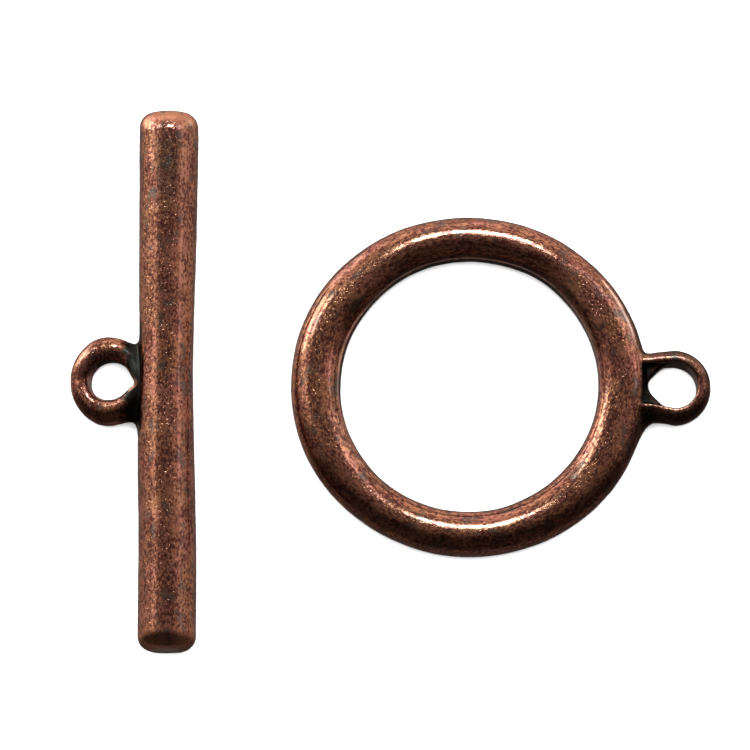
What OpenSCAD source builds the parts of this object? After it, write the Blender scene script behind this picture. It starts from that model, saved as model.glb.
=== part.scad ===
// Toggle clasp: a cast ring and a cast T-bar, lying side by side on a flat surface.
// Each has an eye for a jump ring or a cord. The bar runs along Y, the ring's eye points to +X,
// and the bar's eye points to -X. The origin is under the middle of the pair. Millimetres.

/* [Ring] */
// Outside width of the ring, along X
ring_w = 20.5; // [16:0.1:30]
// Outside length of the ring, along Y
ring_l = 19.9; // [16:0.1:30]
// Radial width of the ring's stock where it is stoutest
ring_stock = 2.85; // [2:0.05:3.6]
// Height of the ring's stock
ring_h = 2.7; // [2.4:0.1:3.6]

/* [Bar] */
// Length of the bar
bar_l = 31.6; // [24:0.1:48]
// Thickness of the bar at its stouter end
bar_d = 3.45; // [2.6:0.05:4.6]
// Rounding of the corners at both ends of the bar
bar_corner = 1.05; // [0.4:0.05:1.2]

/* [Eyes] */
// Bore of the ring's eye
ring_eye_bore = 2.6; // [1.8:0.1:3]
// Width of the ring eye's arms, seen from above
ring_eye_wire = 0.88; // [0.7:0.02:1.4]
// Height of the ring eye's arms
ring_eye_h = 1.9; // [1.2:0.1:2.2]
// How far the ring's eye stands out from the ring
ring_eye_reach = 3.6; // [3.3:0.05:6]
// Bore of the bar's eye
bar_eye_bore = 2.5; // [1.8:0.1:3]
// Width of the wire round the bar's eye, seen from above, at its free end
bar_eye_wire = 1.1; // [0.9:0.02:1.7]
// Height of the wire round the bar's eye
bar_eye_h = 1.7; // [1:0.1:2]
// How far the bar's eye stands out from the bar
bar_eye_reach = 4; // [3.5:0.05:6]

/* [Layout] */
// Clear space between the bar and the ring where they lie nearest
lay_gap = 5.3; // [2:0.1:12]
// How far the ring's middle lies towards -Y of the bar's middle
lay_shift = 0.3; // [-4:0.1:4]

/* [Hidden] */

metal = [0.47, 0.29, 0.22];

// Unevenness of the cast ring: angle from +X, radial width as a share of ring_stock, and how far the
// middle of the stock lies outside an even oval, as a share of ring_stock
RING_STOCK = [
    [0, 1.000, 0.012], [30, 0.940, 0.020], [60, 0.890, 0.022], [90, 0.890, 0.004], [120, 0.945, 0.004],
    [150, 1.015, -0.004], [180, 1.005, -0.003], [210, 0.975, 0.016], [240, 0.905, 0.010], [270, 0.905, 0.010],
    [300, 0.955, 0.000], [330, 1.005, 0.004], [360, 1.000, 0.012]
];
// Unevenness of the cast bar: place as a share of its half length, then thickness and sideways bow as
// shares of bar_d
BAR_STOCK = [
    [-1.00, 0.968, 0.058], [-0.65, 0.958, 0.056], [-0.25, 0.943, 0.012], [0.05, 0.905, 0.000],
    [0.40, 0.945, 0.006], [0.75, 0.985, 0.010], [1.00, 1.000, 0.008]
];
// Arms of the ring's eye: place from the ring's flank to the middle of the eye, distance from the middle
// line as a share of the distance at the eye, and width as a share of ring_eye_wire
ARM_PATH = [[-0.60, 0.86, 1.00], [0.00, 0.86, 0.95], [0.50, 0.94, 1.00], [1.00, 1.00, 1.00]];
// Wire of the bar's eye: angle from its free end, and width as a share of bar_eye_wire
BAR_EYE_STOCK = [[0, 1.00], [90, 1.26], [135, 1.32], [225, 1.32], [270, 1.26], [360, 1.00]];

// Squareness of the sections: 2 is an ellipse, and more is nearer to a rounded box
ring_section = 2.15;
bar_section = 2.1;
ring_eye_section = 2.6;
bar_eye_section = 2.1;
// How far a section's crown lies outside its middle, as a share of its width
ring_crown = -0.065;
eye_crown = -0.10;

// Share by which the ring's eye is thinner at its free end
free_end_thin = 0.09;
// How far the ring's eye lies off the ring's middle line, as a share of ring_stock
eye_drift = -0.035;
// How much of an eye's inner wall its bore makes cylindrical
land_depth = 0.05;
// Tip in which an eye's bore runs out: its place and its radius, as shares of the bore's radius
ring_eye_tip = [0.68, 0.50];
bar_eye_tip = [1.12, 0.17];
// Height of the web at the root of an eye, as a share of the eye's own height
web_share = 0.45;
// Radius of the fillets at the root of an eye, on its -Y side and on its +Y side
fillet_r = [0.75, 0.4];
// How deep the ring eye's arms are rooted in the ring, as a share of ring_stock
root_share = 0.28;

ring_steps = 84;
ring_sides = 20;
bar_steps = 28;
bar_sides = 24;
corner_steps = 6;
eye_steps = 40;
eye_sides = 16;
arm_steps = 8;
bore_fn = 64;

// Middle line of the wire round the ring's eye, and the eye's axis as seen from the ring's flank
ring_eye_rc = (ring_eye_bore + ring_eye_wire) / 2 - land_depth;
ring_eye_out = ring_eye_reach - ring_eye_rc - ring_eye_wire * (1 / 2 - free_end_thin);

// The same for the bar's eye, in its own plane, with its axis as seen from the bar's axis
bar_side = bar_d * at(BAR_STOCK, 0, 1) / 2;
bar_eye_rc = (bar_eye_bore + bar_eye_wire) / 2 - land_depth;
bar_eye_x = bar_side + bar_eye_reach - bar_eye_rc - bar_eye_wire / 2;
// The bar rolls until the underside of its eye touches the surface
bar_eye_droop = min([
    for (p = outline(bar_eye_wire / 2, bar_eye_h / 2, bar_eye_section, eye_sides, eye_crown))
        if (p[1] < 0)
            let (reach = bar_eye_x + bar_eye_rc + p[0])
            asin(bar_d / 2 / norm([reach, p[1]])) - atan2(-p[1], reach)
]);

// The pair lies centred on the origin
bar_eye_span = (bar_side + bar_eye_reach) * cos(bar_eye_droop);
bar_right = bar_d * max([for (row = BAR_STOCK) row[1] / 2 + row[2]]);
pair_w = bar_eye_span + bar_right + lay_gap + ring_w + ring_eye_reach;
bar_x = bar_eye_span - pair_w / 2;
ring_x = pair_w / 2 - ring_eye_reach - ring_w / 2;

// Value of a column of a table at t, on a smooth curve through the rows
function row_below(table, t, i = 0) =
    i >= len(table) - 2 || table[i + 1][0] > t ? i : row_below(table, t, i + 1);
function at(table, t, column) =
    let (
        i = row_below(table, t),
        share = max(0, min(1, (t - table[i][0]) / (table[i + 1][0] - table[i][0]))),
        ease = (1 - cos(180 * share)) / 2
    )
    table[i][column] + (table[i + 1][column] - table[i][column]) * ease;

// Closed outline of a section, half_w by half_h, from an ellipse at squareness 2 towards a rounded box.
// Its crown and its underside lie off the middle by crown, a share of its width.
function signed_power(v, p) = sign(v) * pow(abs(v), p);
function outline(half_w, half_h, squareness, sides, crown = 0) = [
    for (j = [0:sides - 1])
        let (
            a = 360 * j / sides,
            v = signed_power(sin(a), 2 / squareness)
        )
        [half_w * (signed_power(cos(a), 2 / squareness) + 2 * crown * v * v), half_h * v]
];

// Skin over sections that have the same number of points each
module skin(sections, looped = false) {
    rows = len(sections);
    sides = len(sections[0]);
    bands = looped ? rows : rows - 1;
    faces = [
        for (i = [0:bands - 1], j = [0:sides - 1])
            let (
                below = i * sides,
                above = (i + 1) % rows * sides,
                next = (j + 1) % sides
            )
            each [[below + j, below + next, above + next], [below + j, above + next, above + j]]
    ];
    ends = looped ? [] : [
        [for (j = [0:sides - 1]) sides - 1 - j],
        [for (j = [0:sides - 1]) (rows - 1) * sides + j]
    ];
    polyhedron(points = [for (s = sections) each s], faces = concat(faces, ends));
}

// Ring stock: a section carried round an oval
module ring_body() {
    axis_x = ring_w / 2 - ring_stock / 2;
    axis_y = ring_l / 2 - ring_stock / 2 * at(RING_STOCK, 90, 1);
    skin([
        for (i = [0:ring_steps - 1])
            let (
                a = 360 * i / ring_steps,
                normal = [cos(a) * axis_y, sin(a) * axis_x],
                out = normal / norm(normal),
                half_w = ring_stock * at(RING_STOCK, a, 1) / 2,
                drift = ring_stock * at(RING_STOCK, a, 2)
            )
            [
                for (p = outline(half_w, ring_h / 2, ring_section, ring_sides, ring_crown))
                    let (u = p[0] + drift)
                    [axis_x * cos(a) + out[0] * u, axis_y * sin(a) + out[1] * u, ring_h / 2 + p[1]]
            ]
    ], looped = true);
}

// Section of the ring eye's loop, reach away from the line or point at foot, in the direction dir
function loop_section(foot, dir, reach, width) = [
    for (p = outline(width / 2, ring_eye_h / 2, ring_eye_section, eye_sides, eye_crown))
        [foot + dir[0] * (reach + p[0]), dir[1] * (reach + p[0]), p[1]]
];

// Loop of the ring's eye, with its axis on the origin: two arms from the ring's flank and a half turn
module ring_eye_loop() {
    root = -ring_stock * root_share / ring_eye_out;
    turn_steps = eye_steps / 2;
    arm = [for (i = [0:arm_steps - 1]) root + (1 - root) * i / arm_steps];
    function arm_section(share, side) = loop_section(
        ring_eye_out * (share - 1), [0, side],
        ring_eye_rc * at(ARM_PATH, share, 1), ring_eye_wire * at(ARM_PATH, share, 2)
    );
    skin(concat(
        [for (share = arm) arm_section(share, -1)],
        [
            for (i = [0:turn_steps])
                let (
                    a = -90 + 180 * i / turn_steps,
                    thin = ring_eye_wire * free_end_thin * cos(a)
                )
                loop_section(0, [cos(a), sin(a)], ring_eye_rc - thin / 2, ring_eye_wire - thin)
        ],
        [for (i = [arm_steps - 1:-1:0]) arm_section(arm[i], 1)]
    ));
}

// Bore of an eye with its axis on the origin, with a tip that runs out towards the root at -X
module eye_bore(bore, tip, depth) {
    r = bore / 2;
    tip_x = -r * tip[0];
    tip_r = r * tip[1];
    lean = acos((r - tip_r) / -tip_x);
    cylinder(r = r, h = depth, center = true, $fn = bore_fn);
    translate([tip_x, 0, 0])
        cylinder(r = tip_r, h = depth, center = true, $fn = bore_fn / 2);
    linear_extrude(height = depth, center = true)
        polygon([
            [0, 0],
            [-r * cos(lean), r * sin(lean)],
            [tip_x - tip_r * cos(lean), tip_r * sin(lean)],
            [tip_x - tip_r * cos(lean), -tip_r * sin(lean)],
            [-r * cos(lean), -r * sin(lean)]
        ]);
}

// Fillet between a disc on the origin and a round flank towards -X, whose middle is dist away.
// It lies on the +Y side where side is 1, and on the -Y side where side is -1.
module fillet(disc_r, flank_r, dist, r, side, h) {
    near = disc_r + r;
    far = flank_r + r;
    x = (near * near - far * far + dist * dist) / (2 * dist);
    y = side * sqrt(near * near - x * x);
    difference() {
        linear_extrude(height = h, center = true)
            polygon([
                [0, 0],
                disc_r / near * [-x, y],
                [-x, y],
                [-dist, 0] + flank_r / far * [dist - x, y],
                [-dist + flank_r - r, 0]
            ]);
        translate([-x, y, 0])
            cylinder(r = r, h = 2 * h, center = true, $fn = bore_fn);
    }
}

// What fills the root of an eye: a disc round the bore, and a fillet on each side
module eye_root(disc_r, loop_r, flank_r, dist, h) {
    cylinder(r = disc_r, h = h, center = true, $fn = bore_fn);
    fillet(loop_r, flank_r, dist, fillet_r[0], -1, h);
    fillet(loop_r, flank_r, dist, fillet_r[1], 1, h);
}

module toggle_ring() {
    eye_x = ring_w / 2 + ring_eye_out;
    eye_at = [eye_x, eye_drift * ring_stock, ring_h / 2];
    color(metal)
        translate([ring_x, -lay_shift, 0])
            difference() {
                union() {
                    ring_body();
                    translate(eye_at) {
                        ring_eye_loop();
                        eye_root(ring_eye_rc, ring_eye_rc, ring_w / 2, eye_x, ring_eye_h * web_share);
                    }
                }
                translate(eye_at)
                    eye_bore(ring_eye_bore, ring_eye_tip, 2 * ring_h);
            }
}

// Bar stock: round sections along Y, drawn in round a corner at each end
module bar_body() {
    half = bar_l / 2;
    corner = [
        for (k = [0:corner_steps - 1])
            let (a = 90 * k / corner_steps)
            bar_corner * [1 - cos(a), 1 - sin(a)]
    ];
    places = concat(
        [for (c = corner) [-half + c[0], c[1]]],
        [for (i = [0:bar_steps]) [(-half + bar_corner) + (bar_l - 2 * bar_corner) * i / bar_steps, 0]],
        [for (k = [corner_steps - 1:-1:0]) [half - corner[k][0], corner[k][1]]]
    );
    skin([
        for (place = places)
            let (
                share = place[0] / half,
                half_w = bar_d * at(BAR_STOCK, share, 1) / 2 - place[1],
                bow = bar_d * at(BAR_STOCK, share, 2)
            )
            [
                for (p = outline(half_w, half_w, bar_section, bar_sides))
                    [bow + p[0], place[0], p[1]]
            ]
    ]);
}

// Eye of the bar in its own plane, with its axis on the origin: a closed loop, stouter towards the bar
module bar_eye_loop() {
    skin([
        for (i = [0:eye_steps - 1])
            let (
                a = 360 * i / eye_steps,
                width = bar_eye_wire * at(BAR_EYE_STOCK, a, 1),
                rc = bar_eye_rc + (width - bar_eye_wire) / 2
            )
            [
                for (p = outline(width / 2, bar_eye_h / 2, bar_eye_section, eye_sides, eye_crown))
                    [(rc + p[0]) * cos(a), (rc + p[0]) * sin(a), p[1]]
            ]
    ], looped = true);
}

// Puts what is drawn round the origin where the bar's eye is, with its root towards the bar
module in_bar_eye() {
    rotate([0, -bar_eye_droop, 0])
        translate([-bar_eye_x, 0, 0])
            mirror([1, 0, 0])
                children();
}

module toggle_bar() {
    far = 40 * bar_d; // radius at which the bar's straight flank is as good as flat
    color(metal)
        translate([bar_x, 0, bar_d / 2])
            difference() {
                union() {
                    bar_body();
                    in_bar_eye() {
                        bar_eye_loop();
                        eye_root(
                            bar_eye_rc, bar_eye_rc + bar_eye_wire / 2,
                            far, far + bar_eye_x - bar_side, bar_eye_h * web_share
                        );
                    }
                }
                in_bar_eye()
                    eye_bore(bar_eye_bore, bar_eye_tip, 2 * bar_d);
            }
}

toggle_bar();
toggle_ring();
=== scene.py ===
"""Toggle clasp in antique copper: a cast ring and a cast T-bar, each with an eye, lying side by side.

Each casting is one closed skin, drawn by a Geometry Nodes tree from a distance field in millimetres:
the stock, the eye and the web at its root run into each other as they do in cast metal. One oxidised
copper finish dresses both, dark in the recesses and low down, and worn bright on the crests. Shade is
painted into its colour on the ring's inner flank and on the bar eye's hole wall, and thin light lines of
painted highlight and painted reflection run along the ring's shoulder and inner flank.
"""

from __future__ import annotations

import logging  # noqa: E402
import math  # noqa: E402
from dataclasses import dataclass, field  # noqa: E402
from enum import Enum  # noqa: E402
from typing import Any, NamedTuple, Sequence, Union  # noqa: E402

import bpy  # noqa: E402
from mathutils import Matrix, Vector  # noqa: E402


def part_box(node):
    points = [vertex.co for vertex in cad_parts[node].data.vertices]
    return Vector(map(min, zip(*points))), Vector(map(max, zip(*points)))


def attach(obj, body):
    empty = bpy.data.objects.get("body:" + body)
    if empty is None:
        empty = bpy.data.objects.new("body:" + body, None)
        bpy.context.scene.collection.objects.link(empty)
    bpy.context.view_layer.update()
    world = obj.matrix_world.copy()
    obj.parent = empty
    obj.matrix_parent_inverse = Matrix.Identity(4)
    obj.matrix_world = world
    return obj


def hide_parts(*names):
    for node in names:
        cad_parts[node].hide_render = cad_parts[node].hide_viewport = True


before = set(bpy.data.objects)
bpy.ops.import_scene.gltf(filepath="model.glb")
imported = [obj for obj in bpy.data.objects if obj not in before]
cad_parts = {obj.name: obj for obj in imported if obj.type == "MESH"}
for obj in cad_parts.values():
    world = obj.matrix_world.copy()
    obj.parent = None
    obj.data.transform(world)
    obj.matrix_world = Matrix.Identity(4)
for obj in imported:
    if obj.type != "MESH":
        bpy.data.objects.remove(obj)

logging.basicConfig(level=logging.INFO, format="%(message)s")
log = logging.getLogger("toggle_clasp")

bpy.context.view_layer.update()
MM = 0.001
TURN = 2 * math.pi
FAR = 3.0
SMOOTH_STEP = {"interpolation_type": "SMOOTHSTEP", "clamp": True}

Number = Union["Wire", float, int]
Colour = tuple[float, float, float, float]
Socket = bpy.types.NodeSocket


# Named choices and small records


class Mark(Enum):
    """Values stored on a casting's vertices, which its finish reads."""

    # Black oxide, and shade painted in black on some flanks and walls.
    OXIDE_AND_PAINTED_SHADE = "recess"
    MATTE = "matte"
    RUB = "rub"
    POLISH = "polish"
    # Thin light lines of painted highlight and painted reflection.
    PAINTED_HIGHLIGHT = "pale"
    SLEEK = "sleek"

    @property
    def kind(self) -> str:
        """Blender's data type of the stored value."""
        return "FLOAT_VECTOR" if self is Mark.RUB else "FLOAT"


class Shown(Enum):
    """Which surfaces a panel lights."""

    EVERYWHERE = "everywhere"
    NOT_MIRRORED = "everywhere, but not mirrored in the metal"


class Tone(Enum):
    """Colours of the panels' light."""

    PLAIN = (0.96, 1.0, 1.04)
    WHITE = (1.0, 1.0, 1.0)
    BLUISH = (0.80, 1.02, 1.12)
    GREENISH = (0.88, 1.08, 1.05)
    FAINT_GREENISH = (0.90, 1.06, 1.05)
    YELLOWISH = (1.02, 1.0, 0.90)
    PINKISH = (1.06, 0.94, 1.08)
    FAINT_PINKISH = (1.03, 0.97, 1.08)


class Fade(NamedTuple):
    """A smooth step: 0 at its start and 1 at its end, which may be the smaller of the two."""

    start: float
    end: float


class Band(NamedTuple):
    """A stripe that fades in over one step and out over another."""

    rise: Fade
    fall: Fade


class Texture(NamedTuple):
    """A noise: its lumps per millimetre, its finer layers and their strength."""

    lumps: float
    detail: float = 2.0
    roughness: float = 0.5


class StockRow(NamedTuple):
    """Unevenness of a stock at one place.

    Attributes:
        place: where, in degrees round the stock or from -1 to 1 along it.
        width: width as a share of the named one.
        drift: how far it lies outwards, to +X, or upwards on an eye's wire, as a share of the named width.
        crown: how far the crown lies off the middle, as a share of the width.
        dark: how dark the outer flank is.
        square: 2 for an elliptic section, and more towards a rounded box.
    """

    place: float
    width: float
    drift: float
    crown: float = 0.0
    dark: float = 0.0
    square: float = 2.15


class ArmRow(NamedTuple):
    """Run of an eye's arms at one place, as shares: width of the wire, spread of the back and front arm."""

    place: float
    width: float
    back: float
    front: float


class Fillets(NamedTuple):
    """Radii where the forms of a casting meet, in millimetres.

    Attributes:
        face: between eye and stock, at the eye's upper and lower face.
        back: what is added at mid height behind the eye.
        front: what is added at mid height before the eye.
        web: between the eye's loop and its web.
        hole: at the hole's edge.
    """

    face: float
    back: float
    front: float
    web: float
    hole: float


# Node trees written as expressions


class Wire:
    """A socket that carries a value, on which + - * / and the like add Math nodes."""

    def __init__(self, graph: "Graph", socket: Socket) -> None:
        """Wraps a socket of a graph."""
        self.graph = graph
        self.socket = socket

    def _maths(self, operation: str, *values: Number) -> "Wire":
        """Adds a Math node on these values."""
        return self.graph.maths(operation, *values)

    def __add__(self, other: Number) -> "Wire":
        """Sum."""
        return self._maths("ADD", self, other)

    def __radd__(self, other: Number) -> "Wire":
        """Sum, reflected."""
        return self._maths("ADD", other, self)

    def __sub__(self, other: Number) -> "Wire":
        """Difference."""
        return self._maths("SUBTRACT", self, other)

    def __rsub__(self, other: Number) -> "Wire":
        """Difference, reflected."""
        return self._maths("SUBTRACT", other, self)

    def __mul__(self, other: Number) -> "Wire":
        """Product."""
        return self._maths("MULTIPLY", self, other)

    def __rmul__(self, other: Number) -> "Wire":
        """Product, reflected."""
        return self._maths("MULTIPLY", other, self)

    def __truediv__(self, other: Number) -> "Wire":
        """Quotient."""
        return self._maths("DIVIDE", self, other)

    def __rtruediv__(self, other: Number) -> "Wire":
        """Quotient, reflected."""
        return self._maths("DIVIDE", other, self)

    def __pow__(self, other: Number) -> "Wire":
        """Power."""
        return self._maths("POWER", self, other)

    def __neg__(self) -> "Wire":
        """Negative."""
        return self._maths("MULTIPLY", self, -1.0)

    def __abs__(self) -> "Wire":
        """Absolute value."""
        return self._maths("ABSOLUTE", self)

    def over(self, limit: Number) -> "Wire":
        """The larger of this and the limit."""
        return self._maths("MAXIMUM", self, limit)

    def under(self, limit: Number) -> "Wire":
        """The smaller of this and the limit."""
        return self._maths("MINIMUM", self, limit)

    def root(self) -> "Wire":
        """Square root."""
        return self._maths("SQRT", self)

    def gap(self) -> "Wire":
        """Distance from a surface on either side of it, read no further than FAR millimetres."""
        return abs(self).under(FAR)

    def ramp(self, start: float, end: float) -> "Wire":
        """Goes smoothly from 0 at the start to 1 at the end, which may be the smaller one."""
        limits = {0: self, 1: start, 2: end, 3: 0.0, 4: 1.0}
        return Wire(self.graph, self.graph.node("ShaderNodeMapRange", SMOOTH_STEP, limits).outputs[0])

    def fade(self, fade: Fade) -> "Wire":
        """Goes smoothly from 0 to 1 over a fade."""
        return self.ramp(fade.start, fade.end)

    def band(self, band: Band) -> "Wire":
        """1 inside a band and 0 outside it."""
        return self.fade(band.rise) * self.fade(band.fall)


class Vec(NamedTuple):
    """Three wires that belong together as a point."""

    x: Wire
    y: Wire
    z: Wire


class Graph:
    """A node tree to which nodes are added by one method."""

    def __init__(self, tree: bpy.types.NodeTree) -> None:
        """Wraps a node tree."""
        self.tree = tree

    def node(
        self, kind: str, settings: dict[str, Any] | None = None, values: dict[Any, Any] | None = None
    ) -> bpy.types.Node:
        """Adds a node.

        Args:
            kind: Blender's type name of the node.
            settings: its properties, set before its sockets.
            values: sockets by index or name, each with a value, a wire or a socket to link.

        Returns:
            The new node.
        """
        made = self.tree.nodes.new(kind)
        for name, value in (settings or {}).items():
            setattr(made, name, value)
        for key, value in (values or {}).items():
            self.feed(made.inputs[key], value)
        return made

    def feed(self, socket: Socket, value: Any) -> None:
        """Links something to a socket, or sets the socket's own value.

        Args:
            socket: the socket that is fed.
            value: a wire, a point, a socket or a plain value.
        """
        if isinstance(value, Wire):
            self.tree.links.new(value.socket, socket)
        elif isinstance(value, Vec):
            self.tree.links.new(self.joined(value), socket)
        elif isinstance(value, Socket):
            self.tree.links.new(value, socket)
        else:
            socket.default_value = value

    def maths(self, operation: str, *values: Number) -> Wire:
        """Adds a Math node of that operation and returns its output."""
        made = self.node("ShaderNodeMath", {"operation": operation}, dict(enumerate(values)))
        return Wire(self, made.outputs[0])

    def split(self, socket: Socket) -> Vec:
        """The three parts of a vector socket."""
        made = self.node("ShaderNodeSeparateXYZ", values={0: socket})
        return Vec(*(Wire(self, made.outputs[i]) for i in range(3)))

    def joined(self, point: Vec) -> Socket:
        """One vector socket from three wires."""
        return self.node("ShaderNodeCombineXYZ", values={0: point.x, 1: point.y, 2: point.z}).outputs[0]

    def length(self, *parts: Wire) -> Wire:
        """Length of the vector that has these parts."""
        squares = [part * part for part in parts]
        return sum(squares[1:], squares[0]).root()

    def blend(self, share: Number, low: Number, high: Number) -> Wire:
        """Goes from low to high as share goes from 0 to 1."""
        made = self.node("ShaderNodeMix", {"data_type": "FLOAT"}, {0: share, 2: low, 3: high})
        return Wire(self, made.outputs[0])

    def tint(self, share: Number, low: Any, high: Any) -> Socket:
        """Goes from one colour to another as share goes from 0 to 1."""
        return self.node("ShaderNodeMix", {"data_type": "RGBA"}, {0: share, 6: low, 7: high}).outputs[2]

    def noise(self, place: Any, texture: Texture) -> Wire:
        """Noise from 0 to 1 at a place, with the scale and layers of a texture."""
        values = {"Vector": place, **dict(zip(("Scale", "Detail", "Roughness"), texture))}
        return Wire(self, self.node("ShaderNodeTexNoise", {"noise_dimensions": "3D"}, values).outputs[0])

    def marked(self, mark: Mark) -> Wire:
        """What a casting's vertices hold under a mark, as a number or as a point."""
        made = self.node("ShaderNodeAttribute", {"attribute_name": mark.value})
        return Wire(self, made.outputs["Vector" if mark is Mark.RUB else "Fac"])

    def column(self, share: Wire, rows: Sequence[StockRow | ArmRow], name: str) -> Wire:
        """Value of one column of a table, on a smooth curve through its rows.

        Args:
            share: where the table is read, from 0 at its first row to 1 at its last.
            rows: the table, in the order of its places.
            name: name of the column.

        Returns:
            The value there.
        """
        made = self.node("ShaderNodeFloatCurve", values={0: 1.0, 1: share})
        mapping = made.mapping
        mapping.use_clip = False
        points = mapping.curves[0].points
        while len(points) < len(rows):
            points.new(0.5, 0.5)
        first, last = rows[0].place, rows[-1].place
        for point, row in zip(points, rows):
            point.location = ((row.place - first) / (last - first), getattr(row, name))
            point.handle_type = "AUTO_CLAMPED"
        mapping.update()
        return Wire(self, made.outputs[0])


class FieldGraph(Graph):
    """A Geometry Nodes tree that draws a solid from a distance field, in millimetres."""

    def __init__(self, name: str) -> None:
        """Makes the tree, with a group input and a group output.

        Args:
            name: the tree's name.
        """
        super().__init__(bpy.data.node_groups.new(name, "GeometryNodeTree"))
        self.tree.interface.new_socket("Geometry", in_out="OUTPUT", socket_type="NodeSocketGeometry")
        self.inlet = self.tree.nodes.new("NodeGroupInput")
        self.outlet = self.tree.nodes.new("NodeGroupOutput")
        self.sizes: dict[str, tuple[str, float]] = {}

    def size(self, name: str, value: float) -> Wire:
        """A named input of the tree, made the first time it is asked for.

        Args:
            name: the input's name.
            value: what the modifier will set on it.

        Returns:
            The input's wire.
        """
        if name not in self.sizes:
            kind = "NodeSocketInt" if isinstance(value, int) else "NodeSocketFloat"
            socket = self.tree.interface.new_socket(name, in_out="INPUT", socket_type=kind)
            self.sizes[name] = (socket.identifier, value)
        return Wire(self, self.inlet.outputs[name])

    def stored(self, shape: Socket, mark: Mark, value: Number | Vec) -> Socket:
        """Stores a value under a mark on every vertex of a mesh, and returns the mesh."""
        values = {0: shape, "Name": mark.value, "Value": value}
        return self.node("GeometryNodeStoreNamedAttribute", {"data_type": mark.kind}, values).outputs[0]

    def angle(self, point: Vec) -> Wire:
        """Angle of a point round Z as a share of a turn, from 0 at +X."""
        return self.maths("FRACT", self.maths("ARCTAN2", point.y, point.x) / TURN + 1.0)

    def section(
        self, u: Wire, v: Wire, half_w: Number, half_h: Number, squareness: Number, crown: Number = 0.0
    ) -> Wire:
        """Distance to a closed section whose crown and underside may lie off its middle.

        Args:
            u: place across the section.
            v: height in the section.
            half_w: half its width.
            half_h: half its height.
            squareness: 2 for an ellipse, and more towards a rounded box.
            crown: how far crown and underside lie off the middle, as a share of the width.

        Returns:
            A field that is 0 on the section and negative inside it.
        """
        rise = abs(v / half_h)
        lean = (rise * rise).under(1.0) * 2.0 * crown
        reach = (abs(u / half_w - lean) ** squareness + rise**squareness) ** (1 / squareness)
        return (reach - 1.0) * self.maths("MINIMUM", half_w, half_h)

    def joined_solids(self, a: Wire, b: Wire, radius: Number) -> Wire:
        """Union of two fields, with a fillet of about that radius."""
        return self.maths("SMOOTH_MIN", a, b, radius)

    def cut(self, a: Wire, b: Wire, radius: Number) -> Wire:
        """Field a with b taken out of it, and the edge rounded by about that radius."""
        return self.maths("SMOOTH_MAX", a, -b, radius)


# What both castings share


class Skin(NamedTuple):
    """What a casting's tree draws, with one value for each mark.

    Attributes:
        solid: distance to the casting's skin, negative inside it.
        recess: 1 where the oxide stayed black and where shade is painted in black, and 0 where it was rubbed
            off.
        matte: 1 on a flank that gleams less.
        rub: the place, with the run of the rubbing drawn together, so that the texture is longer that way.
        polish: 1 where handling has rubbed the copper bright.
        pale: 1 on the thin light lines of painted highlight and painted reflection.
        sleek: 1 where the skin has few pits.
    """

    solid: Wire
    recess: Wire
    matte: Number
    rub: Vec
    polish: Number = 0.0
    pale: Number = 0.0
    sleek: Number = 0.0


@dataclass(frozen=True)
class Bore:
    """Hole of an eye, with a tip that runs out towards the root. Lengths in millimetres.

    Attributes:
        radius: radius of the round part.
        tip_place: how far off the tip's middle lies, as a share of the radius.
        tip_radius: radius of the tip, as a share of the radius.
        turn: how far the tip is turned round the eye's axis.
        flat: length of the hole along Y, as a share of a round one's.
    """

    radius: float
    tip_place: float
    tip_radius: float
    turn: float = 0.0
    flat: float = 1.0

    def distance(self, point: Vec) -> Wire:
        """Distance to the hole's outline, negative inside it.

        Args:
            point: the place in the eye's own frame.

        Returns:
            The field.
        """
        graph = point.x.graph
        run = self.radius * self.tip_place
        tip = self.radius * self.tip_radius
        lean = (self.radius - tip) / run
        rest = math.sqrt(1 - lean * lean)
        cosine, sine = math.cos(self.turn), math.sin(self.turn)
        across = point.y / self.flat
        along = -(point.x * cosine + across * sine)
        side = abs(across * cosine - point.x * sine)
        place = along * rest - side * lean
        at_circle = graph.length(side, along) - self.radius
        at_tip = graph.length(side, along - run) - tip
        at_flank = side * rest + along * lean - self.radius
        past = graph.maths("GREATER_THAN", place, rest * run)
        before = graph.maths("LESS_THAN", place, 0.0)
        return graph.blend(before, graph.blend(past, at_flank, at_tip), at_circle)


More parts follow.
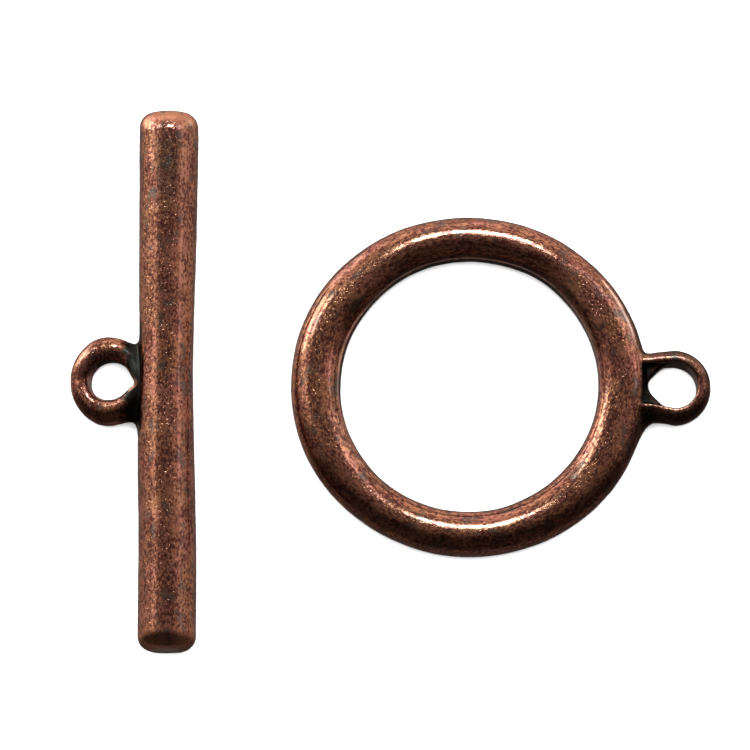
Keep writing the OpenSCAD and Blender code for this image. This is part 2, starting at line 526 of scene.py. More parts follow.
@dataclass(frozen=True)
class EyeBlack:
    """Black oxide round an eye, where no rubbing reached. Lengths in millimetres, in the eye's own frame.

    Attributes:
        below: height at which the corners between eye and stock turn black.
        pocket: how far to each side the black pocket behind the eye reaches.
        end: where the black ends along X, under the stock.
        root: where the black of a whole root begins along X, or None.
        rubbed_rim: how much is rubbed off again on the hole's front rim.
    """

    below: Fade
    pocket: Fade
    end: Fade
    root: Fade | None = None
    rubbed_rim: float = 0.0
    corner: Fade = Fade(1.3, 0.5)
    wall: Fade = Fade(0.42, 0.10)
    wall_run: Fade = Fade(1.2, 0.6)
    behind: Fade = Fade(-0.2, -0.6)
    pocket_top: Fade = Fade(1.10, 0.85)
    pocket_rim: Fade = Fade(0.4, 0.2)
    root_edge: Texture = Texture(2.2)
    root_sway: float = 0.9
    root_rim: Fade = Fade(0.04, 0.14)
    root_reach: Fade = Fade(1.9, 1.4)
    root_top: Fade = Fade(1.15, 0.9)
    rim_width: Fade = Fade(0.22, 0.12)
    rim_front: Fade = Fade(0.0, -0.25)
    rim_height: Fade = Fade(0.2, 0.5)

    def mask(self, stock: Wire, loop: Wire, hole: Wire, at: Vec) -> Wire:
        """How black each place is.

        Args:
            stock: distance to the ring's or bar's stock.
            loop: distance to the eye's loop.
            hole: distance to the hole's outline.
            at: the place in the eye's frame.

        Returns:
            1 low at the root and on the hole's walls, and 0 on every crest.
        """
        apart = stock.gap() + loop.gap()
        walls = hole.gap().fade(self.wall) * at.x.fade(self.wall_run)
        black = apart.fade(self.corner).over(walls) * at.z.fade(self.below)
        behind = at.x.fade(self.behind) * at.z.fade(self.pocket_top) * abs(at.y).fade(self.pocket)
        black = black.over(behind * stock.gap().fade(self.pocket_rim))
        if self.root is not None:
            black = black.over(self.root_mask(self.root, hole, apart, at))
        rubbed = hole.fade(self.rim_width) * at.y.fade(self.rim_front) * at.z.fade(self.rim_height)
        return black * at.x.fade(self.end) * (1.0 - rubbed * self.rubbed_rim)

    def root_mask(self, root: Fade, hole: Wire, apart: Wire, at: Vec) -> Wire:
        """Black of a whole root, with an uneven edge towards the eye.

        Args:
            root: where it begins along X.
            hole: distance to the hole's outline.
            apart: distance to stock and loop together.
            at: the place in the eye's frame.

        Returns:
            1 on the root and 0 elsewhere.
        """
        sway = (hole.graph.noise(at, self.root_edge) - 0.5) * self.root_sway
        run = (at.x + sway).fade(root) * abs(hole).fade(self.root_rim)
        return run * apart.fade(self.root_reach) * at.z.fade(self.root_top)


@dataclass
class Casting:
    """One cast half: how its skin is drawn, and its sizes that the other half has too.

    An eye's own frame has its axis on the origin along Z, and its root towards -X. Each half adds the sizes
    of its eye: eye_height, web_height, fillets, bore and black. Lengths in millimetres.
    """

    material: bpy.types.Material
    graph: FieldGraph = field(init=False)
    name: str = ""
    node: str = ""
    voxel: float = 0.088
    margin: float = 0.35
    blur_steps: int = 2

    # Cast skin, which is a little uneven
    swell: float = 0.030
    swell_texture: Texture = Texture(0.42, 1.0)
    ripple: float = 0.007
    ripple_texture: Texture = Texture(1.5)
    seed: int = 3
    seed_stride: float = 17.0

    # Where the fillet between eye and stock grows
    mid_height: float = 0.1
    front: Fade = Fade(0.3, -0.6)

    # Finish
    dark_below: float = 0.7
    rub_stretch: float = 0.55

    def skin(self, point: Vec) -> Skin:
        """The casting's field and its marks."""
        raise NotImplementedError

    def unevenness(self, point: Vec) -> Wire:
        """How far the cast skin lies inside the drawn one.

        Args:
            point: the place.

        Returns:
            Millimetres inwards, or outwards where negative.
        """
        graph = self.graph
        shift = graph.size("Seed", self.seed) * self.seed_stride
        place = Vec(point.x + shift, point.y, point.z)
        broad = (graph.noise(place, self.swell_texture) - 0.5) * 2.0
        fine = (graph.noise(place, self.ripple_texture) - 0.5) * 2.0
        return broad * graph.size("Swell", self.swell) + fine * graph.size("Ripple", self.ripple)

    def cast(self, parts: Sequence[Wire], hole: Wire, at: Vec) -> Wire:
        """Runs stock, loop and web into one solid and takes the hole out of it.

        Args:
            parts: distances to the stock, the eye's loop and its web.
            hole: distance to the hole's outline.
            at: the place in the eye's frame.

        Returns:
            The solid's field.
        """
        graph = self.graph
        stock, loop, web = parts
        middle = abs(at.z).ramp(self.eye_height / 2, self.mid_height)
        added = graph.blend(at.y.fade(self.front), self.fillets.back, self.fillets.front)
        eye = graph.joined_solids(loop, web, self.fillets.web)
        solid = graph.joined_solids(stock, eye, self.fillets.face + middle * added)
        return graph.cut(solid, hole, self.fillets.hole)

    def meshed(self, solid: Wire) -> Socket:
        """Turns a field into a smooth closed mesh, inside the CAD node's box and a margin round it.

        Args:
            solid: the field.

        Returns:
            The mesh, in millimetres.
        """
        graph = self.graph
        low, high = (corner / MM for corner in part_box(self.node))
        low -= Vector((self.margin,) * 3)
        high += Vector((self.margin,) * 3)
        sizes = {"Density": -solid, "Background": -1.0, "Min": low, "Max": high}
        for axis, span in zip("XYZ", high - low):
            sizes[f"Resolution {axis}"] = int(round(span / self.voxel)) + 1
        volume = graph.node("GeometryNodeVolumeCube", values=sizes).outputs[0]
        grid = {0: volume, "Threshold": 0.0}
        skin = graph.node("GeometryNodeVolumeToMesh", {"resolution_mode": "GRID"}, grid)
        place = {0: graph.node("GeometryNodeInputPosition").outputs[0], "Iterations": self.blur_steps}
        eased = graph.node("GeometryNodeBlurAttribute", {"data_type": "FLOAT_VECTOR"}, place)
        moved = {0: skin.outputs[0], "Position": eased.outputs[0]}
        return graph.node("GeometryNodeSetPosition", values=moved).outputs[0]

    def build(self) -> bpy.types.Object:
        """Draws the casting and stands it in for its CAD node.

        Returns:
            The finished piece.
        """
        graph = self.graph = FieldGraph(self.name)
        point = graph.split(graph.node("GeometryNodeInputPosition").outputs[0])
        drawn = self.skin(point)
        shape = self.meshed(drawn.solid + self.unevenness(point))
        for mark in Mark:
            shape = graph.stored(shape, mark, getattr(drawn, mark.value))
        metres = graph.node("GeometryNodeTransform", values={0: shape, "Scale": (MM, MM, MM)})
        shaded = graph.node("GeometryNodeSetShadeSmooth", values={0: metres.outputs[0]})
        whole = graph.node("GeometryNodeRealizeInstances", values={0: shaded.outputs[0]})
        finish = {0: whole.outputs[0], "Material": self.material}
        dressed = graph.node("GeometryNodeSetMaterial", values=finish)
        graph.feed(graph.outlet.inputs[0], dressed.outputs[0])
        piece = self.evaluated()
        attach(piece, "root")
        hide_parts(self.node)
        return piece

    def evaluated(self) -> bpy.types.Object:
        """Runs the tree on a carrier, which is then removed.

        Returns:
            An object with the plain mesh that the tree draws.
        """
        carrier = bpy.data.objects.new(f"{self.name}_carrier", bpy.data.meshes.new(f"{self.name}_carrier"))
        bpy.context.scene.collection.objects.link(carrier)
        modifier = carrier.modifiers.new("Draw", "NODES")
        modifier.node_group = self.graph.tree
        for identifier, value in self.graph.sizes.values():
            modifier[identifier] = value
        depsgraph = bpy.context.evaluated_depsgraph_get()
        mesh = bpy.data.meshes.new_from_object(carrier.evaluated_get(depsgraph))
        bpy.data.objects.remove(carrier)
        mesh.name = self.name
        piece = bpy.data.objects.new(self.name, mesh)
        bpy.context.scene.collection.objects.link(piece)
        return piece


# The ring half


class RingPlace(NamedTuple):
    """A place as seen from the ring's stock.

    Attributes:
        turn: share of a turn round the ring, from 0 at +X.
        out: millimetres outwards from the stock's middle line.
        right: share of the way from the ring's middle to the stock's, towards +X.
        back: the same towards +Y.
        z: millimetres above the stock's middle.
        rise: the same as a share of the stock's height.
    """

    turn: Wire
    out: Wire
    right: Wire
    back: Wire
    z: Wire
    rise: Wire


@dataclass
class ToggleRing(Casting):
    """The ring half: a round ring with an eye on its +X side. Lengths in millimetres."""

    name: str = "toggle_ring_cast"
    node: str = "toggle_ring"

    # Stock
    centre: tuple[float, float] = (4.52162, -0.3)
    width: float = 20.5
    length: float = 19.9
    stock: float = 2.85
    end_stock: float = 0.89
    height: float = 2.7
    stock_rows: tuple[StockRow, ...] = (
        StockRow(0, 1.000, 0.012, -0.055, 0.75, 2.3),
        StockRow(15, 0.975, 0.017, -0.065, 0.80, 2.6),
        StockRow(30, 0.940, 0.020, -0.075, 0.50, 2.8),
        StockRow(60, 0.890, 0.022, -0.075),
        StockRow(90, 0.890, 0.004, -0.065),
        StockRow(120, 0.945, 0.004, -0.055),
        StockRow(135, 0.985, 0.000, -0.095),
        StockRow(150, 1.015, -0.004, 0.010),
        StockRow(165, 1.010, -0.004, 0.025),
        StockRow(180, 1.005, -0.003, -0.040),
        StockRow(210, 0.975, 0.016, -0.010),
        StockRow(240, 0.905, 0.010, 0.052),
        StockRow(270, 0.905, 0.010, 0.073),
        StockRow(300, 0.955, 0.000, 0.056, 0.1),
        StockRow(330, 1.005, 0.004, -0.030, 0.55),
        StockRow(345, 1.005, 0.008, -0.085, 0.85),
        StockRow(360, 1.000, 0.012, -0.055, 0.75, 2.3),
    )

    # Eye
    eye_place: tuple[float, float] = (11.79918, -0.09975)
    eye_out: float = 1.54921
    eye_wire: float = 0.88
    eye_height: float = 1.9
    eye_reach: float = 1.69
    eye_squareness: float = 2.4
    eye_inward: float = 0.50
    eye_inside: float = 1.33
    eye_inside_edge: float = 0.10
    free_end_thin: float = 0.04
    front_bulge: float = 0.05
    root_depth: float = 0.8
    web_height: float = 0.9
    fillets: Fillets = Fillets(0.12, 0.40, 2.30, 0.25, 0.06)
    bore: Bore = Bore(1.3, 0.55, 0.62)
    black: EyeBlack = EyeBlack(Fade(0.92, 0.57), Fade(1.45, 1.15), Fade(-2.15, -2.0))
    arm_rows: tuple[ArmRow, ...] = (
        ArmRow(-0.60, 1.00, 0.91, 0.84),
        ArmRow(0.00, 0.95, 0.92, 0.84),
        ArmRow(0.50, 1.00, 0.96, 0.94),
        ArmRow(1.00, 1.00, 1.00, 1.05),
    )

    # Dark flanks: oxide on the outer one, painted shade on the inner one at the back and low down
    outer: Fade = Fade(0.0, 0.3)
    inner: Fade = Fade(-0.4, -0.8)
    inner_back: Fade = Fade(0.30, 0.75)
    inner_painted_shade: float = 0.65
    flank_height: Fade = Fade(0.42, 0.26)
    inner_low: Fade = Fade(0.26, 0.12)
    inner_low_painted_shade: float = 0.4
    underside: Fade = Fade(0.02, -0.10)

    # Painted reflection of the lit floor, a light line low on the inner flank, with a painted shadow line
    # under it
    edge_lean: float = 0.12
    edge_run: Fade = Fade(-0.35, 0.05)
    edge_right: Fade = Fade(0.5, 0.95)
    edge_right_loss: float = 0.65
    edge: Band = Band(Fade(0.110, 0.135), Fade(0.180, 0.155))
    edge_reflection_strength: float = 0.38
    painted_shadow_line: Fade = Fade(0.115, 0.085)
    painted_shadow_line_strength: float = 0.9

    # Painted highlight, a light line on the shoulder above the eye, whose run is in degrees
    shoulder_run: Band = Band(Fade(8, 20), Fade(42, 30))
    shoulder_out: Fade = Fade(0.4, 0.7)
    shoulder: Band = Band(Fade(0.345, 0.370), Fade(0.425, 0.400))
    shoulder_highlight_strength: float = 0.48

    # Rubbing
    rub_middle: float = 8.7
    sleek_ends: Fade = Fade(0.45, 0.90)

    def at_stock(self, point: Vec) -> RingPlace:
        """The place as seen from the ring's stock, carried round an oval.

        Args:
            point: the place.

        Returns:
            Where it lies round, across and up the stock.
        """
        graph = self.graph
        x, y = point.x - self.centre[0], point.y - self.centre[1]
        z = point.z - self.height / 2
        stock = graph.size("Stock Width", self.stock)
        right = x / (graph.size("Ring Width", self.width) / 2 - stock / 2)
        back = y / (graph.size("Ring Length", self.length) / 2 - stock * (self.end_stock / 2))
        turn = graph.angle(Vec(right, back, z))
        out = graph.length(x, y) * (1.0 - 1.0 / graph.length(right, back))
        return RingPlace(turn, out, right, back, z, z / graph.size("Stock Height", self.height))

    def stock_distance(self, place: RingPlace) -> Wire:
        """Field of the ring's stock.

        Args:
            place: the place as seen from the stock.

        Returns:
            The field.
        """
        graph = self.graph
        stock = graph.size("Stock Width", self.stock)
        names = ("width", "drift", "crown", "square")
        width, drift, crown, square = (graph.column(place.turn, self.stock_rows, name) for name in names)
        across = place.out - drift * stock
        half_height = graph.size("Stock Height", self.height) / 2
        return graph.section(across, place.z, stock / 2 * width, half_height, square, crown)

    def flank_oxide_and_painted_shade(self, place: RingPlace) -> Wire:
        """How dark the stock's outer and inner flanks are: oxide on the outer flank, and painted shade on
        the inner flank at the back and low down.

        Args:
            place: the place as seen from the stock.

        Returns:
            The share of black.
        """
        outer = self.graph.column(place.turn, self.stock_rows, "dark") * place.out.fade(self.outer)
        inner = place.out.fade(self.inner)
        at_back = self.inner_back_flank(place) * self.inner_painted_shade
        high = outer.over(at_back) * place.rise.fade(self.flank_height)
        return high.over(inner * place.rise.fade(self.inner_low) * self.inner_low_painted_shade)

    def inner_back_flank(self, place: RingPlace) -> Wire:
        """1 on the inner flank at the ring's back."""
        return place.out.fade(self.inner) * place.back.fade(self.inner_back)

    def inner_edge_reflection_and_shadow(self, place: RingPlace) -> tuple[Wire, Wire]:
        """The painted reflection, a light line low on the inner flank at the back, and the painted shadow
        line under it.

        Args:
            place: the place as seen from the stock.

        Returns:
            The share of painted reflection and the share of painted shadow.
        """
        run = place.out.fade(self.inner) * place.back.fade(self.edge_run)
        run = run * (1.0 - place.right.fade(self.edge_right) * self.edge_right_loss)
        level = place.rise - (1.0 - place.back) * self.edge_lean
        pale = level.band(self.edge) * run * self.edge_reflection_strength
        return pale, level.fade(self.painted_shadow_line) * run * self.painted_shadow_line_strength

    def shoulder_highlight(self, place: RingPlace) -> Wire:
        """The painted highlight, a light line on the shoulder above the eye."""
        run = (place.turn * 360).band(self.shoulder_run) * place.out.fade(self.shoulder_out)
        return place.rise.band(self.shoulder) * run * self.shoulder_highlight_strength

    def loop_distance(self, at: Vec) -> Wire:
        """Field of the eye's loop: two arms from the ring's flank and a half turn.

        Args:
            at: the place in the eye's frame.

        Returns:
            The field.
        """
        graph = self.graph
        wire = graph.size("Eye Wire", self.eye_wire)
        first, last = self.arm_rows[0].place, self.arm_rows[-1].place
        run = (at.x / self.eye_out + (1.0 - first)) / (last - first)
        in_front = graph.maths("LESS_THAN", at.y, 0.0)
        back, front, stout = (graph.column(run, self.arm_rows, name) for name in ("back", "front", "width"))
        reach = graph.length(at.x, at.y)
        thin = wire * self.free_end_thin * (at.x / reach).over(0.0)
        bulge = (-at.y / reach).over(0.0) * self.front_bulge + 1.0
        on_turn = graph.maths("GREATER_THAN", at.x, 0.0)
        out = graph.blend(on_turn, abs(at.y) / graph.blend(in_front, back, front), (reach + thin) / bulge)
        half = (wire * graph.blend(on_turn, stout, 1.0) + self.eye_inward) / 2
        across = out - self.eye_reach + self.eye_inward / 2
        half_height = graph.size("Eye Height", self.eye_height) / 2
        loop = graph.section(across, at.z, half, half_height, self.eye_squareness)
        loop = graph.cut(loop, out - self.eye_inside, self.eye_inside_edge)
        return loop.over(self.past_root(at))

    def web_distance(self, at: Vec) -> Wire:
        """Field of the web between the eye's arms."""
        slab = (abs(at.z) - self.web_height / 2).over(abs(at.y) - self.eye_reach)
        return slab.over(at.x).over(self.past_root(at))

    def past_root(self, at: Vec) -> Wire:
        """How far a place lies past the eye's end, inside the stock."""
        return -(at.x + (self.eye_out + self.root_depth))

    def skin(self, point: Vec) -> Skin:
        """The ring's field and its marks.

        Args:
            point: the place.

        Returns:
            The field and the marks.
        """
        place = self.at_stock(point)
        eye_x, eye_y = (middle + step for middle, step in zip(self.centre, self.eye_place))
        at = Vec(point.x - eye_x, point.y - eye_y, place.z)
        stock = self.stock_distance(place)
        loop = self.loop_distance(at)
        hole = self.bore.distance(at)
        solid = self.cast((stock, loop, self.web_distance(at)), hole, at)
        # Light lines of painted highlight and painted reflection; painted shade on the flanks and a painted
        # shadow line join the eye's black oxide.
        edge, painted_shadow_line = self.inner_edge_reflection_and_shadow(place)
        pale = edge.over(self.shoulder_highlight(place))
        dark = self.flank_oxide_and_painted_shade(place).over(painted_shadow_line)
        low = place.rise.fade(self.underside) * self.dark_below
        recess = self.black.mask(stock, loop, hole, at).over(dark).over(low) * (1.0 - pale)
        matte, sleek = self.inner_back_flank(place), abs(place.back).fade(self.sleek_ends)
        return Skin(solid, recess, matte, self.rubbing(point), pale=pale, sleek=sleek)

    def rubbing(self, point: Vec) -> Vec:
        """The place with the way round the ring drawn together, so that the texture runs round it.

        Args:
            point: the place.

        Returns:
            The place to look the texture up at.
        """
        x, y = point.x - self.centre[0], point.y - self.centre[1]
        share = 1.0 - self.rub_middle * (1.0 - self.rub_stretch) / self.graph.length(x, y)
        return Vec(x * share, y * share, point.z - self.height / 2)


# The bar half


@dataclass
class ToggleBar(Casting):
    """The bar half: a straight bar along Y with an eye on its -X side. Lengths in millimetres."""

    name: str = "toggle_bar_cast"
    node: str = "toggle_bar"
    voxel: float = 0.075

    # Stock
    axis_x: float = -12.8983
    length: float = 31.6
    thickness: float = 3.45
    squareness: float = 2.1
    corner: float = 0.82
    top_corner: float = 1.40
    low_end_corner: float = 0.95
    low_end: Fade = Fade(-10, -14)
    corner_rise: Fade = Fade(0.3, 0.95)
    stock_rows: tuple[StockRow, ...] = (
        StockRow(-1.00, 0.968, 0.058),
        StockRow(-0.65, 0.958, 0.056),
        StockRow(-0.25, 0.943, 0.012),
        StockRow(0.05, 0.905, 0.000),
        StockRow(0.40, 0.945, 0.006),
        StockRow(0.75, 0.985, 0.010),
        StockRow(1.00, 1.000, 0.008),
    )

    # Eye
    eye_from_axis: float = 3.2652
    eye_droop: float = math.radians(10.442)
    eye_wire: float = 1.1
    eye_height: float = 1.7
    eye_reach: float = 1.75
    eye_squareness: float = 2.3
    eye_crown: float = -0.10
    web_height: float = 0.8
    fillets: Fillets = Fillets(0.15, 0.95, 1.75, 0.2, 0.08)
    bore: Bore = Bore(1.22, 1.12, 0.20, math.radians(13), 0.95)
    eye_rows: tuple[StockRow, ...] = (
        StockRow(0, 1.03, 0.00),
        StockRow(45, 1.13, 0.12),
        StockRow(80, 1.28, 0.06),
        StockRow(105, 1.22, 0.00),
        StockRow(125, 1.18, -0.18),
        StockRow(180, 1.30, 0.00),
        StockRow(235, 1.20, 0.00),
        StockRow(275, 1.28, 0.00),
        StockRow(300, 1.20, 0.00),
        StockRow(330, 1.08, 0.00),
        StockRow(360, 1.03, 0.00),
    )

    # Dark places, with heights as shares of the thickness where they lie on the stock
    black: EyeBlack = EyeBlack(
        Fade(0.65, 0.30), Fade(2.2, 1.9), Fade(-2.45, -2.3), root=Fade(-0.72, -1.22), rubbed_rim=0.9
    )
    near_stock: Fade = Fade(0.5, 0.3)
    flank_height: Fade = Fade(0.78, 0.62)
    flank_dark: float = 0.35
    underside: Fade = Fade(0.52, 0.40)
    eye_underside: Fade = Fade(-0.15, -0.40)
    # Painted shade on the hole's back wall, which faces the front
    wall: Fade = Fade(0.50, 0.28)
    wall_run: Fade = Fade(0.1, 0.5)
    wall_painted_shade: float = 0.55
    streak_middle: float = 0.05
    streak_width: Fade = Fade(1.00, 0.35)
    streak_run: Band = Band(Fade(9.0, 11.5), Fade(14.6, 13.6))
    streak_height: Fade = Fade(0.6, 0.8)
    streak_dark: float = 0.58

    # Gleam
    matte_flank: Fade = Fade(0.70, 1.00)
    polished_ends: Fade = Fade(14.4, 15.4)

    def stock_distance(self, point: Vec) -> Wire:
        """Field of the bar's stock: round sections along Y, rounded at both ends.

        Args:
            point: the place.

        Returns:
            The field.
        """
        graph = self.graph
        thickness = graph.size("Bar Thickness", self.thickness)
        half_length = graph.size("Bar Length", self.length) / 2
        run = point.y / half_length / 2 + 0.5
        x = point.x - self.axis_x - thickness * graph.column(run, self.stock_rows, "drift")
        z = point.z - self.thickness / 2
        half = thickness / 2 * graph.column(run, self.stock_rows, "width")
        side = graph.section(x, z, half, half, self.squareness)
        top_corner = graph.size("Top Corner", self.top_corner)
        top = graph.blend(point.y.fade(self.low_end), top_corner, self.low_end_corner)
        corner = graph.blend((abs(z) / half).fade(self.corner_rise), graph.size("Corner", self.corner), top)
        past_side = side + corner
        past_end = abs(point.y) - half_length + corner
        outside = graph.length(past_side.over(0.0), past_end.over(0.0))
        return outside + past_side.over(past_end).under(0.0) - corner

    def at_eye(self, point: Vec) -> Vec:
        """The place in the eye's own frame.

        Args:
            point: the place.

        Returns:
            The place as seen from the eye, which droops.
        """
        x = point.x - self.axis_x
        z = point.z - self.thickness / 2
        cosine, sine = math.cos(self.eye_droop), math.sin(self.eye_droop)
        return Vec(-(x * cosine + z * sine + self.eye_from_axis), point.y, z * cosine - x * sine)

    def loop_distance(self, at: Vec) -> Wire:
        """Field of the eye's loop, whose wire is uneven and stouter towards the bar.

        Args:
            at: the place in the eye's frame.

        Returns:
            The field.
        """
        graph = self.graph
        wire = graph.size("Eye Wire", self.eye_wire)
        turn = graph.angle(at)
        width = wire * graph.column(turn, self.eye_rows, "width")
        lift = wire * graph.column(turn, self.eye_rows, "drift")
        across = graph.length(at.x, at.y) - (self.eye_reach + (width - wire) / 2)
        half, half_height = width / 2, graph.size("Eye Height", self.eye_height) / 2
        return graph.section(across, at.z - lift, half, half_height, self.eye_squareness, self.eye_crown)

    def web_distance(self, at: Vec) -> Wire:
        """Field of the web inside the eye's loop."""
        return (abs(at.z) - self.web_height / 2).over(self.graph.length(at.x, at.y) - self.eye_reach)

    def dark_places(self, stock: Wire, hole_wall: Wire, point: Vec, at: Vec) -> Wire:
        """How dark the flanks, the underside and the streak near the back end are, with painted shade on the
        hole's back wall.

        Args:
            stock: distance to the bar's stock.
            hole_wall: 1 on the hole's back wall.
            point: the place.
            at: the place in the eye's frame.

        Returns:
            The share of black.
        """
        rise = point.z / self.thickness
        on_stock = stock.gap().fade(self.near_stock)
        flank = rise.fade(self.flank_height) * self.flank_dark * on_stock
        under = (rise.fade(self.underside) * on_stock).over(at.z.fade(self.eye_underside)) * self.dark_below
        across = abs(point.x - (self.axis_x + self.streak_middle)).fade(self.streak_width)
        streak = across * point.y.band(self.streak_run) * rise.fade(self.streak_height)
        # Painted shade on the hole's back wall.
        dark = flank.over(under).over(hole_wall * self.wall_painted_shade)
        return dark.over(streak * self.streak_dark)

    def skin(self, point: Vec) -> Skin:
        """The bar's field and its marks.

        Args:
            point: the place.

        Returns:
            The field and the marks.
        """
        at = self.at_eye(point)
        stock = self.stock_distance(point)
        loop = self.loop_distance(at)
        hole = self.bore.distance(at)
        solid = self.cast((stock, loop, self.web_distance(at)), hole, at)
        hole_wall = hole.gap().fade(self.wall) * at.y.fade(self.wall_run)
        dark = self.dark_places(stock, hole_wall, point, at)
        recess = self.black.mask(stock, loop, hole, at).over(dark)
        matte = (point.x - self.axis_x).fade(self.matte_flank).over(hole_wall)
        rub = Vec(point.x, point.y * self.rub_stretch, point.z)
        return Skin(solid, recess, matte, rub, polish=abs(point.y).fade(self.polished_ends))


# Finish


@dataclass(frozen=True)
class AntiqueCopper:
    """Copper plate, oxidised dark and rubbed back, over cast metal, with painted shade in its black and
    painted highlight and reflection in its light lines. Lengths in millimetres.
    """

    worn: Colour = (0.81, 0.365, 0.200, 1)
    worn_pink: Colour = (0.79, 0.318, 0.215, 1)
    # Colour of the light lines of painted highlight and painted reflection.
    pale: Colour = (0.42, 0.360, 0.320, 1)
    dull: Colour = (0.185, 0.048, 0.032, 1)
    grey: Colour = (0.17, 0.150, 0.125, 1)
    # Black of the oxide, also used for painted shade.
    black: Colour = (0.022, 0.021, 0.018, 1)
    rim: Colour = (0.62, 0.56, 0.53, 1)

    # Colour: worn over dull in specks and patches, pink in places, with grey stains
    speck: Texture = Texture(8.0, 2.0, 0.60)
    speck_share: float = 0.60
    grain: Texture = Texture(6.0, 2.0, 0.6)
    grain_share: float = 0.10
    patch: Texture = Texture(1.3, 3.0, 0.6)
    patch_share: float = 0.30
    polish_share: float = 0.12
    wear: Fade = Fade(0.41, 0.58)
    hue: Texture = Texture(0.9, 1.0)
    pinkness: Fade = Fade(0.42, 0.64)
    stain: Texture = Texture(1.5, 3.0, 0.65)
    stain_specks: float = 0.15
    stained: Fade = Fade(0.62, 0.74)
    stain_strength: float = 0.7

    # Relief: soft dents, fine grain and sparse pits
    dent: Texture = Texture(2.4)
    dent_relief: float = 0.0085
    grain_relief: float = 0.0060
    pit: Texture = Texture(9.0, 1.0)
    pitted: Fade = Fade(0.47, 0.33)
    pit_depth: float = 0.0049
    sleekness: float = 0.65

    # Gleam
    roughness: float = 0.19
    worn_gloss: float = 0.04
    black_roughness: float = 0.18
    matte_roughness: float = 0.25
    pale_dullness: float = 0.8
    coat: float = 0.70
    black_coat: float = 0.15
    coat_roughness: float = 0.06

    def colour(self, graph: Graph, place: Wire, wear: Wire, speck: Wire) -> Socket:
        """The finish's colour.

        Args:
            graph: the material's tree.
            place: the place to look textures up at.
            wear: 1 where the copper is worn bright.
            speck: the noise of the specks.

        Returns:
            The colour's socket.
        """
        warm = graph.tint(graph.noise(place, self.hue).fade(self.pinkness), self.worn, self.worn_pink)
        tint = graph.tint(wear, self.dull, warm)
        stain = (graph.noise(place, self.stain) + speck * self.stain_specks).fade(self.stained)
        tint = graph.tint(stain * self.stain_strength, tint, self.grey)
        # Black of the oxide and of painted shade, then the light lines of painted highlight and reflection.
        tint = graph.tint(graph.marked(Mark.OXIDE_AND_PAINTED_SHADE), tint, self.black)
        return graph.tint(graph.marked(Mark.PAINTED_HIGHLIGHT), tint, self.pale)

    def relief(self, graph: Graph, place: Wire, grain: Wire) -> Socket:
        """The normal of the dented, grained and pitted skin.

        Args:
            graph: the material's tree.
            place: the place to look textures up at.
            grain: the noise of the grain.

        Returns:
            The normal's socket.
        """
        pits = graph.noise(place, self.pit).fade(self.pitted) * (self.pit_depth / self.dent_relief)
        fine = grain * (self.grain_relief / self.dent_relief) - pits
        fine = fine * (1.0 - graph.marked(Mark.SLEEK) * self.sleekness)
        height = graph.noise(place, self.dent) + fine
        bump = {"Strength": 1.0, "Distance": self.dent_relief * MM, "Height": height}
        return graph.node("ShaderNodeBump", values=bump).outputs[0]

    def material(self) -> bpy.types.Material:
        """Builds the finish.

        Returns:
            The material.
        """
        made = bpy.data.materials.new("antique_copper")
        made.use_nodes = True
        made.node_tree.nodes.clear()
        graph = Graph(made.node_tree)
        place = graph.marked(Mark.RUB)
        recess, pale = graph.marked(Mark.OXIDE_AND_PAINTED_SHADE), graph.marked(Mark.PAINTED_HIGHLIGHT)
        speck, grain = graph.noise(place, self.speck), graph.noise(place, self.grain)
        wear = speck * self.speck_share + grain * self.grain_share
        wear = wear + graph.noise(place, self.patch) * self.patch_share
        wear = (wear + graph.marked(Mark.POLISH) * self.polish_share).fade(self.wear)
        roughness = self.roughness - wear * self.worn_gloss + graph.marked(Mark.MATTE) * self.matte_roughness
        shader = graph.node(
            "ShaderNodeBsdfPrincipled",
            values={
                "Base Color": self.colour(graph, place, wear, speck),
                "Metallic": 1.0 - pale * self.pale_dullness,
                "Roughness": roughness + recess * self.black_roughness,
                "Normal": self.relief(graph, place, grain),
                "Specular Tint": self.rim,
                "Coat Weight": self.coat - recess * (self.coat - self.black_coat),
                "Coat Roughness": self.coat_roughness,
            },
        )
        graph.node("ShaderNodeOutputMaterial", values={0: shader.outputs[0]})
        return made


# Studio


@dataclass
class PhotoCamera:
    """The photograph's viewpoint: high in front of the pair, a long lens. Lengths in metres."""

    elevation: float = math.radians(77)
    distance: float = 0.26
    lens: float = 217.0
    sensor: float = 36.0
    aim: tuple[float, float, float] = (-0.000883, 0.0002816, 0.001565)

    def build(self) -> None:
        """Makes the camera and sets it as the scene's."""
        data = bpy.data.cameras.new("photo_camera")
        data.lens = self.lens
        data.sensor_width = self.sensor
        made = bpy.data.objects.new("photo_camera", data)
        back = Vector((0, -math.cos(self.elevation), math.sin(self.elevation)))
        made.location = Vector(self.aim) + back * self.distance
        made.rotation_euler = back.to_track_quat("Z", "Y").to_euler()
        bpy.context.scene.collection.objects.link(made)
        bpy.context.scene.camera = made


@dataclass
class Panel:
    """A soft panel that faces the pair: place and size in degrees as seen from it, distance in metres."""

    name: str
    azimuth: float
    elevation: float
    wide: float
    high: float
    level: float
    tone: Tone = Tone.PLAIN
    distance: float = 0.6
    shown: Shown = Shown.EVERYWHERE

    def build(self) -> None:
        """Makes the panel, with the power that gives it its brightness at that size."""
        data = bpy.data.lights.new(self.name, "AREA")
        data.shape = "RECTANGLE"
        spans = (math.radians(self.wide), math.radians(self.high))
        data.size, data.size_y = (2 * self.distance * math.tan(span / 2) for span in spans)
        data.energy = self.level * math.pi * data.size * data.size_y
        data.color = self.tone.value
        made = bpy.data.objects.new(self.name, data)
        azimuth, elevation = math.radians(self.azimuth), math.radians(self.elevation)
        aside = math.cos(elevation)
        away = Vector((math.cos(azimuth) * aside, math.sin(azimuth) * aside, math.sin(elevation)))
        made.location = away * self.distance
        made.rotation_euler = away.to_track_quat("Z", "Y").to_euler()
        made.visible_glossy = self.shown is Shown.EVERYWHERE
        made.visible_camera = False
        bpy.context.scene.collection.objects.link(made)


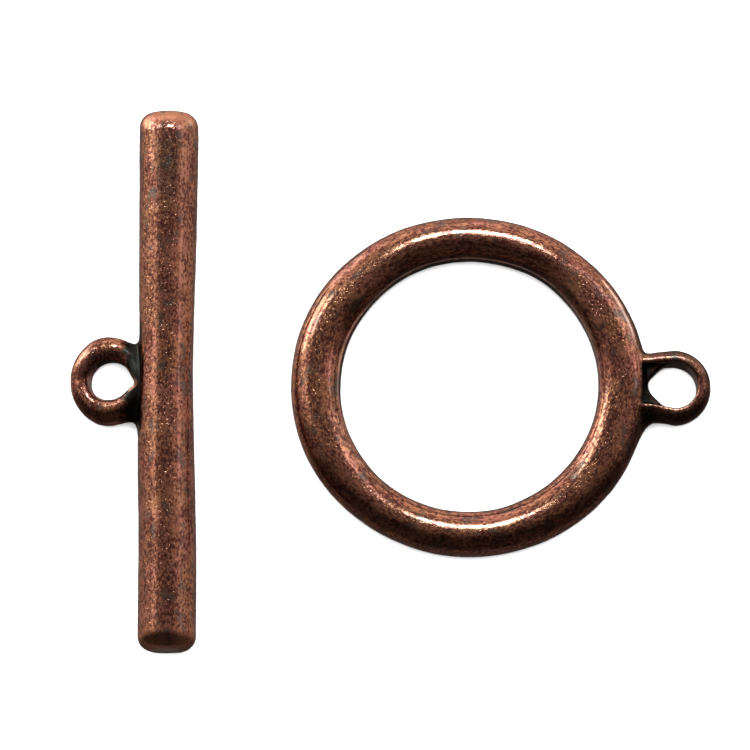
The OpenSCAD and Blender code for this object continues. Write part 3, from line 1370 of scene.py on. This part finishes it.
@dataclass(frozen=True)
class Surroundings:
    """The room round the table: nearly dark in front, dim above, and paler behind and at the sides."""

    colour: Colour = (1.0, 0.84, 0.77, 1)
    front: float = 0.03
    floor_edge: float = 0.09
    above: float = 0.16
    beside: float = 0.36
    wall: float = 0.52
    downwards: Fade = Fade(-0.2, -0.5)
    sideways: Fade = Fade(0.1, 0.8)
    backwards: Fade = Fade(-0.35, 0.35)
    at_wall: Fade = Fade(0.65, 0.95)

    def build(self) -> None:
        """Makes the world."""
        world = bpy.data.worlds.new("studio")
        world.use_nodes = True
        world.node_tree.nodes.clear()
        graph = Graph(world.node_tree)
        way = graph.split(graph.node("ShaderNodeTexCoord").outputs["Generated"])
        in_front = graph.blend(way.z.fade(self.downwards), self.front, self.floor_edge)
        room = graph.blend(abs(way.x).fade(self.sideways), self.above, self.beside)
        level = in_front + way.y.fade(self.backwards) * room + way.y.fade(self.at_wall) * self.wall
        light = graph.node("ShaderNodeBackground", values={"Color": self.colour, "Strength": level})
        graph.node("ShaderNodeOutputWorld", values={0: light.outputs[0]})
        bpy.context.scene.world = world


@dataclass
class Studio:
    """Plain whitish floor and soft light. Lengths in metres."""

    floor_half: float = 0.6
    floor_white: Colour = (0.9, 0.9, 0.9, 1)
    floor_roughness: float = 0.9
    surroundings: Surroundings = Surroundings()
    panels: tuple[Panel, ...] = (
        Panel("key", 87, 54, 17, 11, 12.0, Tone.BLUISH),
        Panel("left_high", 147, 20, 26, 14, 2.5, Tone.GREENISH),
        Panel("left_low", 147, -2, 26, 34, 1.6, Tone.YELLOWISH),
        Panel("left_side", 165, 8, 18, 20, 0.12, Tone.YELLOWISH),
        Panel("back_low", 98, 12, 36, 16, 0.30),
        Panel("left_strip", 163, 42, 12, 20, 0.50, Tone.YELLOWISH),
        Panel("left_back", 128, -2, 16, 30, 0.8),
        Panel("left_band_near", 136, 42, 16, 13, 3.0, Tone.FAINT_GREENISH),
        Panel("left_band", 146, 23, 28, 22, 0.7),
        Panel("right_low", 38, -3, 22, 16, 1.5),
        Panel("right_side", 14, 9, 24, 14, 0.10),
        Panel("right_strip", 15, 34, 12, 10, 0.65, Tone.PINKISH),
        Panel("right_band_near", 46, 44, 18, 18, 0.95, Tone.FAINT_PINKISH),
        Panel("right_band", 35, 26, 18, 22, 0.6),
        Panel("floor_fill", 90, 88, 53, 53, 11.0, Tone.WHITE, 1.0, Shown.NOT_MIRRORED),
    )

    def make_floor(self) -> bpy.types.Object:
        """Makes the floor, which the metal doesn't mirror.

        Returns:
            The floor.
        """
        half = self.floor_half
        corners = [(-half, -half, 0), (half, -half, 0), (half, half, 0), (-half, half, 0)]
        mesh = bpy.data.meshes.new("floor")
        mesh.from_pydata(corners, [], [(0, 1, 2, 3)])
        floor = bpy.data.objects.new("floor", mesh)
        bpy.context.scene.collection.objects.link(floor)
        floor.visible_glossy = False
        material = bpy.data.materials.new("floor_white")
        material.use_nodes = True
        shader = material.node_tree.nodes["Principled BSDF"]
        shader.inputs["Base Color"].default_value = self.floor_white
        shader.inputs["Roughness"].default_value = self.floor_roughness
        shader.inputs["Specular IOR Level"].default_value = 0.0
        mesh.materials.append(material)
        return floor

    def build(self) -> None:
        """Makes the floor, the surroundings and the lights."""
        floor = self.make_floor()
        self.surroundings.build()
        for panel in self.panels:
            panel.build()
        view = bpy.context.scene.view_settings
        view.view_transform = "Standard"
        view.look = "None"


def main() -> None:
    """Builds the camera, the two castings and the studio."""
    PhotoCamera().build()
    copper = AntiqueCopper().material()
    for casting in (ToggleRing(material=copper), ToggleBar(material=copper)):
        piece = casting.build()
        log.info("%s: %d faces", piece.name, len(piece.data.polygons))
    Studio().build()


if __name__ == "__main__":
    main()
